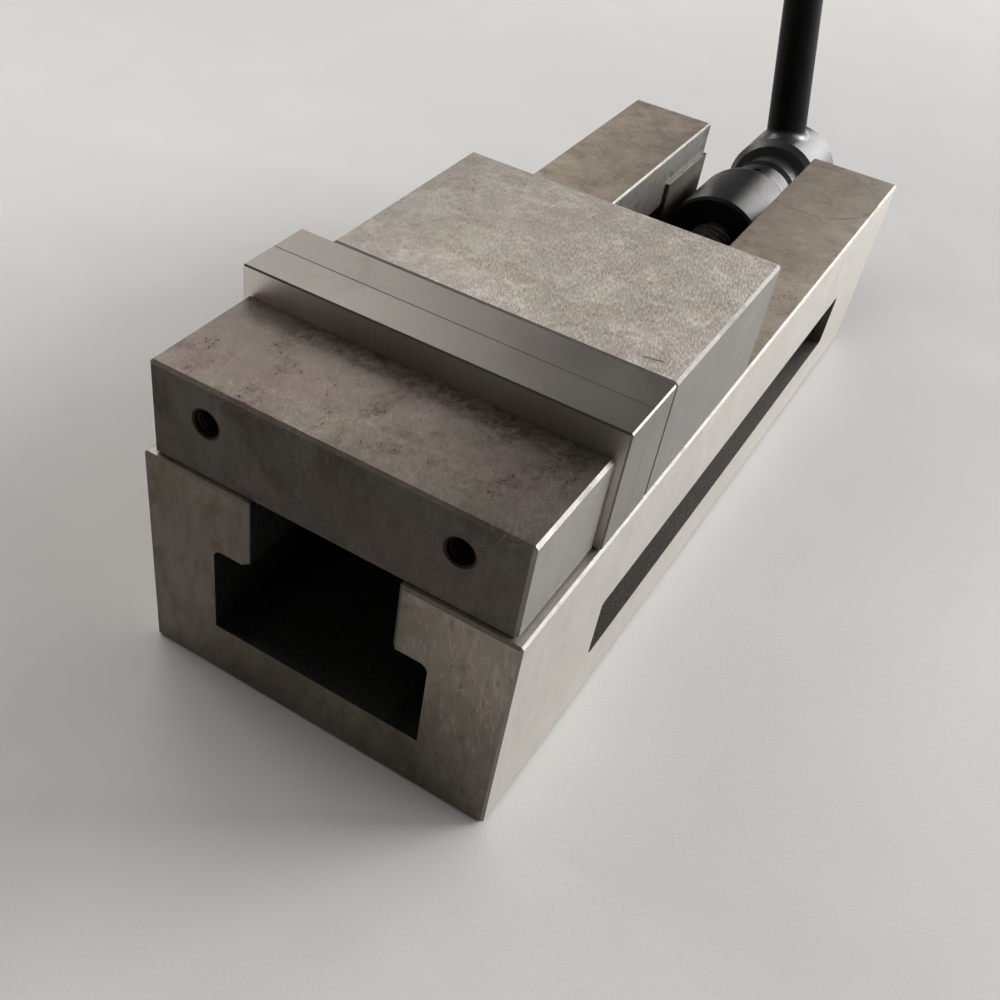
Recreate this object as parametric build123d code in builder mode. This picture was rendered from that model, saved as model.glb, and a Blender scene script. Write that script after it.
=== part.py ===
from build123d import *
import os
from math import cos, radians, sin

os.makedirs("parts", exist_ok=True)

# The frame: X across the jaws, Y along the bed from the fixed jaw to the crank, Z up.
# Y = 0 is the fixed jaw's gripping face, and Z = 0 is the ground base.

# Jaws. The plates stand a little inside the body's sides, and the movable jaw is cut back
# further on its left.
plate_side_inset = 0.5
plate_thickness = 17.0
plate_under_gap = 0.3
plate_chamfer = 0.6
jaw_top_height = 49.0
fixed_jaw_side_inset = 3.5
fixed_jaw_length = 52.5
fixed_jaw_height = 38.5
fixed_jaw_end_inset = 2.0
movable_jaw_length = 100.0
movable_jaw_left_inset = 14.0
jaw_chamfer = 1.2
closed_gap = 0.1
slide_clearance = 0.05
jaw_travel = 200.0

# Body with its T channel
body_width = 151.0
body_length = 410.0
body_height = 93.0
body_chamfer = 1.0
neck_width = 60.0
neck_mouth_chamfer = 2.0
channel_width = 90.0
channel_height = 39.5
channel_corner_radius = 3.5
floor_thickness = 24.5
clamp_slot_start = 74.0
clamp_slot_length = 280.0
clamp_slot_height = 28.0
clamp_slot_bottom = 24.0
clamp_slot_depth = 15.0
clamp_slot_corner_radius = 2.5
key_pocket_width = 18.0
key_pocket_length = 44.0
key_pocket_depth = 8.0
key_pocket_inset = 35.0
key_screw_radius = 2.5
key_screw_depth = 11.0

# Fits of the fasteners
thread_clearance = 0.05
bore_clearance = 0.5
cut_margin = 1.0
screw_chamfer_share = 0.08
key_depth_share = 0.55
tolerance = 0.1
head_clearance = 0.6
head_sink = 0.6

# Plate screws and the work stop holes in line with them
plate_screw_size = 10.0
plate_screw_head_radius = 8.0
plate_screw_head_height = 10.0
plate_screw_key = 8.0
plate_screw_length = 25.0
plate_screw_spacing = 97.0
plate_screw_height = 23.4
tapped_hole_run_out = 1.5
stop_hole_depth = 28.0
stop_hole_chamfer = 0.6

# Screws and dowels under the fixed jaw
jaw_bolt_size = 12.0
jaw_bolt_head_radius = 9.0
jaw_bolt_head_height = 12.0
jaw_bolt_key = 10.0
jaw_bolt_reach = 20.0
jaw_bolt_head_depth = 50.0
jaw_bolt_end_distance = 12.0
dowel_radius = 5.0
dowel_length = 30.0
dowel_end_relief = 1.0

# Spindle and its axis height
axis_height = 46.5
spindle_radius = 14.0
pilot_radius = 9.95
pilot_length = 22.0
flange_radius = 17.0
flange_length = 15.0
thread_relief_radius = 11.5
thread_relief_length = 6.0
hex_width = 19.0
hex_length = 46.0
shank_in_crank = 6.0
running_clearance = 0.08
spindle_chamfer = 1.5

# Pull-down slide under the movable jaw
slide_front_inset = 6.4
slide_length = 54.0
channel_clearance = 0.3
post_width = 50.0
post_height = 25.5
post_nose_cut = 2.6
pocket_clearance = 1.0
pocket_height = 27.0
pocket_length_behind = 23.5
segment_radius = 11.0
segment_seat_clearance = 0.05
segment_height = 14.0
segment_inset = 24.4
pull_angle = 45.0
hook_gap = 1.0
return_screw_size = 10.0
return_screw_length = 35.0
return_screw_key = 5.0
return_screw_tip_gap = 0.3

# Thrust bearing
bearing_outer_radius = 17.5
bearing_inner_radius = 10.1
bearing_washer_thickness = 2.75
bearing_length = 10.0
roller_length = 5.0
roller_count = 12
roller_clearance = 0.05
cage_thickness = 3.0
cage_edge_gap = 0.4
bearing_pocket_radius = 18.0
keeper_width = 64.0
keeper_height = 34.0
keeper_thickness = 8.0
keeper_screw_size = 5.0
keeper_screw_head_radius = 4.25
keeper_screw_head_height = 5.0
keeper_screw_key = 4.0
keeper_screw_length = 16.0
keeper_screw_offset_x = 25.0
keeper_screw_offset_z = 10.5
keeper_front_gap = 0.3

# Spindle nut and the cradle that holds it in the channel
cradle_length = 52.0
cradle_height = 76.2
cradle_base = 4.0
cradle_front_wall = 8.0
cradle_wall_bore_clearance = 1.0
nut_radius = 27.8
nut_seat_clearance = 0.3
nut_overhang = 1.5
nose_radius = 21.0
nose_taper_length = 16.0
nose_end_radius = 19.0
nose_length = 30.3
nose_round = 2.0
oil_hole_radius = 2.3
oil_hole_inset = 11.2
oil_hole_angle = -8.0
wiper_length = 4.7
wiper_radius = 21.0
wiper_clearance = 0.3
cross_pin_radius = 5.0
cross_pin_depth = 6.0
cradle_bolt_size = 10.0
cradle_bolt_head_radius = 8.0
cradle_bolt_head_height = 10.0
cradle_bolt_key = 8.0
cradle_bolt_reach = 15.0
cradle_bolt_head_depth = 12.0
cradle_bolt_end_distance = 10.0

# Crank
crank_front_gap = 0.5
crank_neck_radius = 19.0
crank_neck_length = 15.5
hub_radius = 27.0
hub_length = 38.0
hub_chamfer = 3.0
socket_clearance = 0.15
arm_length = 165.0
arm_root_radius = 11.5
arm_tip_radius = 10.0
arm_fillet = 5.0
eye_radius = 15.0
eye_length = 22.0
eye_chamfer = 1.5
crank_lean = 10.6
grip_length = 96.0
grip_front_radius = 12.0
grip_belly_radius = 15.5
grip_end_radius = 13.0
grip_end_round = 5.0
grip_belly_share = 0.55
grip_bolt_radius = 6.0
grip_bolt_head_radius = 10.0
grip_bolt_head_height = 6.0
grip_bolt_key = 6.0
grip_bolt_thread_radius = 5.0
grip_head_sink = 1.0
grip_washer_radius = 11.0
grip_washer_thickness = 1.5

# Widths
plate_width = body_width - 2 * plate_side_inset
fixed_jaw_width = body_width - 2 * fixed_jaw_side_inset
movable_jaw_left_edge = movable_jaw_left_inset - body_width / 2
movable_jaw_right_edge = body_width / 2 - plate_side_inset
jaw_bolt_offset = (body_width + channel_width) / 4

# Places along Y
fixed_jaw_rear = -plate_thickness
fixed_jaw_front = fixed_jaw_rear - fixed_jaw_length
body_front = fixed_jaw_front - fixed_jaw_end_inset
body_rear = body_front + body_length
movable_plate_front = closed_gap
movable_jaw_front = movable_plate_front + plate_thickness
movable_jaw_rear = movable_jaw_front + movable_jaw_length
slide_front = movable_jaw_front + slide_front_inset
slide_rear = slide_front + slide_length
keeper_rear = slide_rear + keeper_thickness
cradle_front = body_rear - cradle_length
nut_front = cradle_front + cradle_front_wall
nose_start = body_rear + nut_overhang
nut_rear = nose_start + nose_length
wiper_rear = nut_rear + wiper_length
crank_front = wiper_rear + crank_front_gap
hub_front = crank_front + crank_neck_length
hub_rear = hub_front + hub_length
hex_front = crank_front + shank_in_crank
arm_y = hub_front + hub_length / 2
flange_rear = slide_rear - keeper_front_gap
bearing_rear = flange_rear - flange_length
bearing_front = bearing_rear - bearing_length
plate_screw_seat = plate_thickness - plate_screw_head_height - head_sink
plate_hole_depth = plate_screw_length - plate_screw_seat + tapped_hole_run_out

# Heights
channel_top = floor_thickness + channel_height
jaw_top = body_height + jaw_top_height
plate_screw_z = body_height + plate_screw_height
jaw_underside = body_height + slide_clearance


# A plane whose local X and Y are the vise's X and Z, facing the front, at one place along Y.
# A sketch there extrudes forwards with a positive amount.
def facing_front(y):
    return Plane(origin=(0, y, 0), x_dir=(1, 0, 0), z_dir=(0, -1, 0))


def facing_rear(y, x=0.0, z=0.0):
    return Plane(origin=(x, y, z), x_dir=(-1, 0, 0), z_dir=(0, 1, 0))


def facing_down(x, y, z):
    return Plane(origin=(x, y, z), x_dir=(1, 0, 0), z_dir=(0, 0, -1))


# A hexagonal socket screw with its head above the local origin and its shank below it.
def cap_screw(size, length, head_radius, head_height, key_width):
    with BuildPart(mode=Mode.PRIVATE) as screw:
        Cylinder(head_radius, head_height, align=(Align.CENTER, Align.CENTER, Align.MIN))
        chamfer(screw.edges().sort_by(Axis.Z)[-1], head_height * screw_chamfer_share)
        Cylinder(size / 2, length, align=(Align.CENTER, Align.CENTER, Align.MAX))
        with BuildSketch(Plane.XY.offset(head_height)):
            RegularPolygon(key_width / 2, 6, major_radius=False)
        extrude(amount=-head_height * key_depth_share, mode=Mode.SUBTRACT)
    return screw.part


def save(builder, name):
    builder.part.label = name
    export_step(builder.part, f"parts/{name}.step")


# The body: a ground block with the T channel from end to end and a clamping slot in each side
fixed_bolt_ys = (
    fixed_jaw_front + jaw_bolt_end_distance,
    fixed_jaw_rear - jaw_bolt_end_distance,
)
fixed_bolt_places = [(x, y) for x in (-jaw_bolt_offset, jaw_bolt_offset) for y in fixed_bolt_ys]
dowel_y = (fixed_jaw_front + fixed_jaw_rear) / 2
dowel_places = [(-jaw_bolt_offset, dowel_y), (jaw_bolt_offset, dowel_y)]
nut_pocket_radius = nut_radius + nut_seat_clearance
cradle_half_width = channel_width / 2 - channel_clearance
cradle_bolt_x = (nut_pocket_radius + cradle_half_width) / 2
cradle_bolt_ys = (cradle_front + cradle_bolt_end_distance, body_rear - cradle_bolt_end_distance)
cradle_bolt_places = [(x, y) for x in (-cradle_bolt_x, cradle_bolt_x) for y in cradle_bolt_ys]
key_pocket_ys = (body_front + key_pocket_inset, body_rear - key_pocket_inset)

with BuildPart() as body:
    with Locations((0, body_front, 0)):
        Box(body_width, body_length, body_height, align=(Align.CENTER, Align.MIN, Align.MIN))
    chamfer(body.edges(), body_chamfer)
    with BuildSketch(facing_front(body_rear)) as channel:
        with Locations((0, floor_thickness)):
            Rectangle(channel_width, channel_height, align=(Align.CENTER, Align.MIN))
        fillet(channel.vertices().group_by(Axis.Y)[-1], channel_corner_radius)
        with Locations((0, channel_top - channel_corner_radius)):
            neck_depth = body_height - channel_top + channel_corner_radius
            Rectangle(neck_width, neck_depth, align=(Align.CENTER, Align.MIN))
    extrude(amount=body_length, mode=Mode.SUBTRACT)
    neck_top_edges = body.edges().filter_by(Axis.Y).group_by(Axis.Z)[-1]
    neck_top_corners = [
        edge for edge in neck_top_edges if abs(abs(edge.center().X) - neck_width / 2) < tolerance
    ]
    chamfer(neck_top_corners, body_chamfer)
    mouth_edges = [
        edge
        for edge in body.edges().filter_by(Axis.Z)
        if abs(abs(edge.center().X) - neck_width / 2) < tolerance
        and edge.center().Y < body_front + tolerance
    ]
    chamfer(mouth_edges, neck_mouth_chamfer)
    for side in (-1, 1):
        slot_plane = Plane(origin=(side * body_width / 2, 0, 0), x_dir=(0, side, 0), z_dir=(side, 0, 0))
        slot_middle_y = body_front + clamp_slot_start + clamp_slot_length / 2
        with BuildSketch(slot_plane):
            with Locations((side * slot_middle_y, clamp_slot_bottom + clamp_slot_height / 2)):
                RectangleRounded(clamp_slot_length, clamp_slot_height, clamp_slot_corner_radius)
        extrude(amount=-clamp_slot_depth, mode=Mode.SUBTRACT)
    with Locations(*[facing_down(x, y, 0) for x, y in fixed_bolt_places]):
        CounterBoreHole(
            jaw_bolt_size / 2 + bore_clearance,
            jaw_bolt_head_radius + head_clearance,
            jaw_bolt_head_depth,
            depth=body_height,
        )
    with Locations(*[(x, y, body_height) for x, y in dowel_places]):
        Hole(dowel_radius + thread_clearance, depth=dowel_length / 2 + dowel_end_relief)
    with Locations(*[facing_down(x, y, 0) for x, y in cradle_bolt_places]):
        CounterBoreHole(
            cradle_bolt_size / 2 + bore_clearance,
            cradle_bolt_head_radius + head_clearance,
            cradle_bolt_head_depth,
            depth=floor_thickness,
        )
    for y in key_pocket_ys:
        with BuildSketch(Plane.XY):
            with Locations((0, y)):
                Rectangle(key_pocket_width, key_pocket_length)
        extrude(amount=key_pocket_depth, mode=Mode.SUBTRACT)
        with Locations(facing_down(0, y, key_pocket_depth)):
            Hole(key_screw_radius, depth=key_screw_depth)
save(body, "body")

# The fixed jaw, screwed and dowelled from below, with tapped holes in both faces
with BuildPart() as fixed_jaw:
    with Locations((0, fixed_jaw_rear, body_height)):
        Box(
            fixed_jaw_width,
            fixed_jaw_length,
            fixed_jaw_height,
            align=(Align.CENTER, Align.MAX, Align.MIN),
        )
    chamfer(fixed_jaw.edges(), jaw_chamfer)
    with Locations(*[facing_down(x, y, body_height) for x, y in fixed_bolt_places]):
        Hole(jaw_bolt_size / 2 + thread_clearance, depth=jaw_bolt_reach + dowel_end_relief)
    with Locations(*[facing_down(x, y, body_height) for x, y in dowel_places]):
        Hole(dowel_radius + thread_clearance, depth=dowel_length / 2 + dowel_end_relief)
    for x in (-plate_screw_spacing / 2, plate_screw_spacing / 2):
        with Locations(facing_rear(fixed_jaw_rear, x, plate_screw_z)):
            Hole(plate_screw_size / 2 + thread_clearance, depth=plate_hole_depth)
        front_spot = Plane(origin=(x, fixed_jaw_front, plate_screw_z), x_dir=(1, 0, 0), z_dir=(0, -1, 0))
        with Locations(front_spot):
            CounterSinkHole(
                plate_screw_size / 2,
                plate_screw_size / 2 + stop_hole_chamfer,
                depth=stop_hole_depth,
                counter_sink_angle=90,
            )
save(fixed_jaw, "fixed_jaw")

bolt = cap_screw(
    jaw_bolt_size,
    body_height - jaw_bolt_head_depth + jaw_bolt_reach,
    jaw_bolt_head_radius,
    jaw_bolt_head_height,
    jaw_bolt_key,
)
with BuildPart() as fixed_jaw_bolts:
    with Locations(*[facing_down(x, y, jaw_bolt_head_depth) for x, y in fixed_bolt_places]):
        add(bolt)
save(fixed_jaw_bolts, "fixed_jaw_bolts")

with BuildPart() as fixed_jaw_dowels:
    with Locations(*[(x, y, body_height) for x, y in dowel_places]):
        Cylinder(dowel_radius, dowel_length)
    chamfer(fixed_jaw_dowels.edges().filter_by(GeomType.CIRCLE), dowel_end_relief)
save(fixed_jaw_dowels, "fixed_jaw_dowels")


# A hardened jaw plate whose screw heads sink into its gripping face, which looks along facing
def jaw_plate(name, back_y, facing):
    middle_y = back_y + facing * plate_thickness / 2
    grip_y = back_y + facing * plate_thickness
    with BuildPart() as plate:
        with Locations((0, middle_y, body_height + plate_under_gap)):
            Box(
                plate_width,
                plate_thickness,
                jaw_top_height - plate_under_gap,
                align=(Align.CENTER, Align.CENTER, Align.MIN),
            )
        outer_edges = [edge for edge in plate.edges() if abs(edge.center().Y - grip_y) > tolerance]
        chamfer(outer_edges, plate_chamfer)
        for x in (-plate_screw_spacing / 2, plate_screw_spacing / 2):
            spot = Plane(origin=(x, grip_y, plate_screw_z), x_dir=(1, 0, 0), z_dir=(0, facing, 0))
            with Locations(spot):
                CounterBoreHole(
                    plate_screw_size / 2 + bore_clearance,
                    plate_screw_head_radius + head_clearance,
                    plate_screw_head_height + head_sink,
                    depth=plate_thickness,
                )
    save(plate, name)


def plate_screws(name, back_y, facing):
    head_seat_y = back_y + facing * plate_screw_seat
    screw = cap_screw(
        plate_screw_size,
        plate_screw_length,
        plate_screw_head_radius,
        plate_screw_head_height,
        plate_screw_key,
    )
    with BuildPart() as screws:
        for x in (-plate_screw_spacing / 2, plate_screw_spacing / 2):
            spot = Plane(origin=(x, head_seat_y, plate_screw_z), x_dir=(1, 0, 0), z_dir=(0, facing, 0))
            with Locations(spot):
                add(screw)
    save(screws, name)


jaw_plate("fixed_jaw_plate", fixed_jaw_rear, 1)
plate_screws("fixed_plate_screws", fixed_jaw_rear, 1)
jaw_plate("movable_jaw_plate", movable_jaw_front, -1)
plate_screws("movable_plate_screws", movable_jaw_front, -1)

# The movable jaw is hollowed from below for the slide's hook. The sloping front wall of the
# pocket holds the round seat of the segment, so the pull forwards also pulls the jaw down.
segment_y = movable_jaw_front + segment_inset
segment_z = body_height + segment_height
slope_y, slope_z = cos(radians(pull_angle)), sin(radians(pull_angle))
slope_sum = segment_y * slope_y + segment_z * slope_z
pocket_roof = body_height + pocket_height
pocket_floor = body_height - cut_margin
pocket_rear = slide_rear + pocket_length_behind
return_screw_radius = return_screw_size / 2
movable_jaw_middle = (movable_jaw_left_edge + movable_jaw_right_edge) / 2


# The Y where the slope, set back by gap from the segment's centre, has height z
def slope_at(z, gap=0.0):
    return (slope_sum + gap - z * slope_z) / slope_y


def slope_height(y, gap=0.0):
    return (slope_sum + gap - y * slope_y) / slope_z


with BuildPart() as movable_jaw:
    with Locations((movable_jaw_middle, movable_jaw_front, jaw_underside)):
        Box(
            movable_jaw_right_edge - movable_jaw_left_edge,
            movable_jaw_length,
            jaw_top - jaw_underside,
            align=(Align.CENTER, Align.MIN, Align.MIN),
        )
    chamfer(movable_jaw.edges(), jaw_chamfer)
    with BuildSketch(Plane.YZ):
        with BuildLine():
            Polyline(
                (slope_at(pocket_floor), pocket_floor),
                (slope_at(pocket_roof), pocket_roof),
                (pocket_rear, pocket_roof),
                (pocket_rear, pocket_floor),
                close=True,
            )
        make_face()
    extrude(amount=post_width / 2 + pocket_clearance, both=True, mode=Mode.SUBTRACT)
    with Locations((0, segment_y, segment_z)):
        Sphere(segment_radius + segment_seat_clearance, mode=Mode.SUBTRACT)
    with Locations(facing_rear(movable_jaw_rear, 0, segment_z)):
        Hole(return_screw_radius + thread_clearance, depth=movable_jaw_rear - pocket_rear + cut_margin)
    for x in (-plate_screw_spacing / 2, plate_screw_spacing / 2):
        spot = Plane(origin=(x, movable_jaw_front, plate_screw_z), x_dir=(1, 0, 0), z_dir=(0, -1, 0))
        with Locations(spot):
            Hole(plate_screw_size / 2 + thread_clearance, depth=plate_hole_depth)
save(movable_jaw, "movable_jaw")

with BuildPart() as pull_down_segment:
    with Locations((0, segment_y, segment_z)):
        Sphere(segment_radius)
    flat_y = segment_y + hook_gap * slope_y
    flat_z = segment_z + hook_gap * slope_z
    split(
        bisect_by=Plane(origin=(0, flat_y, flat_z), x_dir=(1, 0, 0), z_dir=(0, slope_y, slope_z)),
        keep=Keep.BOTTOM,
    )
save(pull_down_segment, "pull_down_segment")

# The slide fills the T channel under the jaw. Its hook bears on the segment's flat.
slide_channel_width = channel_width - 2 * channel_clearance
slide_neck_width = neck_width - 2 * channel_clearance
slide_bottom = floor_thickness + channel_clearance
slide_shoulder = channel_top - channel_clearance
slide_top = body_height - channel_clearance
post_top = body_height + post_height
post_nose = slope_at(post_top, hook_gap) + post_nose_cut
with BuildPart() as pull_down_slide:
    with BuildSketch(facing_front(slide_rear)):
        with Locations((0, slide_bottom)):
            slide_foot_height = slide_shoulder - slide_bottom
            Rectangle(slide_channel_width, slide_foot_height, align=(Align.CENTER, Align.MIN))
            Rectangle(slide_neck_width, slide_top - slide_bottom, align=(Align.CENTER, Align.MIN))
    extrude(amount=slide_length)
    long_edges = pull_down_slide.edges().filter_by(Axis.Y)
    top_corners = [edge for edge in long_edges if abs(edge.center().X) > slide_neck_width / 2 + cut_margin]
    chamfer([edge for edge in top_corners if edge.center().Z > axis_height], channel_corner_radius)
    with BuildSketch(Plane.YZ):
        with BuildLine():
            Polyline(
                (slope_at(slide_top, hook_gap), slide_top),
                (post_nose, slope_height(post_nose, hook_gap)),
                (post_nose, post_top),
                (slide_rear, post_top),
                (slide_rear, slide_top),
                close=True,
            )
        make_face()
    extrude(amount=post_width / 2, both=True)
    with Locations(facing_rear(slide_rear, 0, axis_height)):
        Hole(bearing_pocket_radius, depth=slide_rear - bearing_front)
        Hole(pilot_radius + running_clearance, depth=slide_length)
    for x in (-keeper_screw_offset_x, keeper_screw_offset_x):
        for z in (axis_height - keeper_screw_offset_z, axis_height + keeper_screw_offset_z):
            with Locations(facing_rear(slide_rear, x, z)):
                Hole(keeper_screw_size / 2 + thread_clearance, depth=keeper_screw_length)
save(pull_down_slide, "pull_down_slide")

# The set screw behind the post draws the jaw back with the slide
with BuildPart() as jaw_return_screw:
    tip_y = slide_rear + return_screw_tip_gap
    with Locations(facing_rear(tip_y, 0, segment_z)):
        Cylinder(
            return_screw_radius,
            return_screw_length,
            align=(Align.CENTER, Align.CENTER, Align.MIN),
        )
    chamfer(jaw_return_screw.edges().filter_by(GeomType.CIRCLE), stop_hole_chamfer)
    with BuildSketch(facing_rear(tip_y + return_screw_length, 0, segment_z)):
        RegularPolygon(return_screw_key / 2, 6, major_radius=False)
    extrude(amount=-return_screw_key, mode=Mode.SUBTRACT)
save(jaw_return_screw, "jaw_return_screw")


# A solid turned about an axis along Y, from (y, radius) corners
def turned(corners, x=0.0, z=axis_height):
    with BuildPart(mode=Mode.PRIVATE) as piece:
        with BuildSketch(Plane(origin=(x, 0, z), x_dir=(0, 1, 0), z_dir=(1, 0, 0))):
            with BuildLine():
                Polyline(*corners, close=True)
            make_face()
        revolve(axis=Axis((x, 0, z), (0, 1, 0)))
    return piece.part


def ring(front, rear, inner_radius, outer_radius):
    return turned([(front, inner_radius), (front, outer_radius), (rear, outer_radius), (rear, inner_radius)])


# The thrust bearing: two flat washers, and rollers in a windowed cage between them
bearing_middle_y = (bearing_front + bearing_rear) / 2
roller_circle_radius = (bearing_inner_radius + bearing_outer_radius) / 2
roller_radius = bearing_length / 2 - bearing_washer_thickness - roller_clearance
cage_inner_radius = bearing_inner_radius + cage_edge_gap
cage_outer_radius = bearing_outer_radius - cage_edge_gap


def bearing_washer(name, front):
    with BuildPart() as washer:
        add(ring(front, front + bearing_washer_thickness, bearing_inner_radius, bearing_outer_radius))
    save(washer, name)


bearing_washer("bearing_front_washer", bearing_front)
bearing_washer("bearing_rear_washer", bearing_rear - bearing_washer_thickness)

with BuildPart() as bearing_cage:
    with BuildSketch(facing_front(bearing_middle_y + cage_thickness / 2)):
        with Locations((0, axis_height)):
            Circle(cage_outer_radius)
            Circle(cage_inner_radius, mode=Mode.SUBTRACT)
            with PolarLocations(roller_circle_radius, roller_count):
                window_clearance = 2 * roller_clearance
                Rectangle(
                    roller_length + window_clearance,
                    2 * roller_radius + window_clearance,
                    mode=Mode.SUBTRACT,
                )
    extrude(amount=cage_thickness)
save(bearing_cage, "bearing_cage")

with BuildPart() as bearing_rollers:
    with Locations(Plane(origin=(0, bearing_middle_y, axis_height), x_dir=(1, 0, 0), z_dir=(0, -1, 0))):
        with PolarLocations(roller_circle_radius, roller_count):
            Cylinder(roller_radius, roller_length, rotation=(0, 90, 0))
save(bearing_rollers, "bearing_rollers")

# The keeper plate closes the slide behind the spindle's flange
keeper_screw_places = [
    (x, axis_height + z)
    for x in (-keeper_screw_offset_x, keeper_screw_offset_x)
    for z in (-keeper_screw_offset_z, keeper_screw_offset_z)
]
with BuildPart() as keeper_plate:
    with BuildSketch(facing_front(keeper_rear)):
        with Locations((0, axis_height)):
            RectangleRounded(keeper_width, keeper_height, channel_corner_radius)
            Circle(spindle_radius + bore_clearance, mode=Mode.SUBTRACT)
    extrude(amount=keeper_thickness)
    with Locations(*[facing_rear(keeper_rear, x, z) for x, z in keeper_screw_places]):
        CounterBoreHole(
            keeper_screw_size / 2 + bore_clearance,
            keeper_screw_head_radius + bore_clearance,
            keeper_screw_head_height + bore_clearance,
            depth=keeper_thickness,
        )
save(keeper_plate, "keeper_plate")

keeper_screw = cap_screw(
    keeper_screw_size,
    keeper_screw_length,
    keeper_screw_head_radius,
    keeper_screw_head_height,
    keeper_screw_key,
)
keeper_seat_y = keeper_rear - keeper_screw_head_height - bore_clearance
with BuildPart() as keeper_screws:
    with Locations(*[facing_rear(keeper_seat_y, x, z) for x, z in keeper_screw_places]):
        add(keeper_screw)
save(keeper_screws, "keeper_screws")


# A hexagon across the spindle axis, turned with the crank's lean
def hexagon(y, width):
    with BuildSketch(facing_rear(y, 0, axis_height)) as outline:
        RegularPolygon(width / 2, 6, major_radius=False, rotation=crank_lean)
    return outline.sketch


hex_rear = hex_front + hex_length
with BuildPart() as spindle:
    pilot_front = bearing_front - pilot_length
    relief_rear = flange_rear + thread_relief_length
    add(
        turned(
            [
                (pilot_front, 0),
                (pilot_front, pilot_radius - spindle_chamfer),
                (pilot_front + spindle_chamfer, pilot_radius),
                (bearing_rear, pilot_radius),
                (bearing_rear, flange_radius),
                (flange_rear, flange_radius),
                (flange_rear, thread_relief_radius),
                (relief_rear, thread_relief_radius),
                (relief_rear + spindle_radius - thread_relief_radius, spindle_radius),
                (hex_front - spindle_chamfer, spindle_radius),
                (hex_front, spindle_radius - spindle_chamfer),
                (hex_front, 0),
            ]
        )
    )
    extrude(hexagon(hex_rear, hex_width), amount=-hex_length)
    chamfer(spindle.faces().sort_by(Axis.Y)[-1].edges(), spindle_chamfer)
save(spindle, "spindle")

# The nut: a round barrel flush with the bed's end, drawn in to a nose with an oil hole
with BuildPart() as spindle_nut:
    nut_bore = spindle_radius + running_clearance
    nose_shoulder = nut_rear - nose_round
    nose_throat = nose_start + nose_taper_length
    with BuildSketch(Plane(origin=(0, 0, axis_height), x_dir=(0, 1, 0), z_dir=(1, 0, 0))):
        with BuildLine():
            Polyline(
                (nose_start, nut_radius),
                (nut_front + spindle_chamfer, nut_radius),
                (nut_front, nut_radius - spindle_chamfer),
                (nut_front, nut_bore),
                (nut_rear, nut_bore),
                (nut_rear, nose_end_radius),
            )
            Polyline((nut_rear, nose_end_radius), (nose_shoulder, nose_radius), (nose_throat, nose_radius))
            Spline((nose_throat, nose_radius), (nose_start, nut_radius), tangents=[(-1, 0), (-1, 0)])
        make_face()
    revolve(axis=Axis((0, 0, axis_height), (0, 1, 0)))
    nut_flat_z = floor_thickness + cradle_base + closed_gap
    with Locations((0, nut_front - cut_margin, nut_flat_z)):
        flat_length = nose_start - nut_front + cut_margin
        Box(
            nut_radius * 2,
            flat_length,
            nut_radius,
            align=(Align.CENTER, Align.MIN, Align.MAX),
            mode=Mode.SUBTRACT,
        )
    oil_x, oil_z = sin(radians(oil_hole_angle)), cos(radians(oil_hole_angle))
    oil_plane = Plane(
        origin=(oil_x * nose_radius, nut_rear - oil_hole_inset, axis_height + oil_z * nose_radius),
        x_dir=(0, 1, 0),
        z_dir=(oil_x, 0, oil_z),
    )
    with Locations(oil_plane):
        Hole(oil_hole_radius, depth=nose_radius - spindle_radius + cut_margin)
    pin_y = (nut_front + body_rear) / 2
    for side in (-1, 1):
        with Locations(Plane(origin=(side * nut_radius, pin_y, axis_height), z_dir=(side, 0, 0))):
            Hole(cross_pin_radius + thread_clearance, depth=cross_pin_depth)
save(spindle_nut, "spindle_nut")

with BuildPart() as nut_wiper:
    wiper_bore = spindle_radius + wiper_clearance
    add(
        turned(
            [
                (nut_rear, wiper_bore),
                (nut_rear, nose_end_radius),
                (wiper_rear, wiper_radius),
                (wiper_rear, wiper_bore),
            ]
        )
    )
save(nut_wiper, "nut_wiper")

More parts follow.
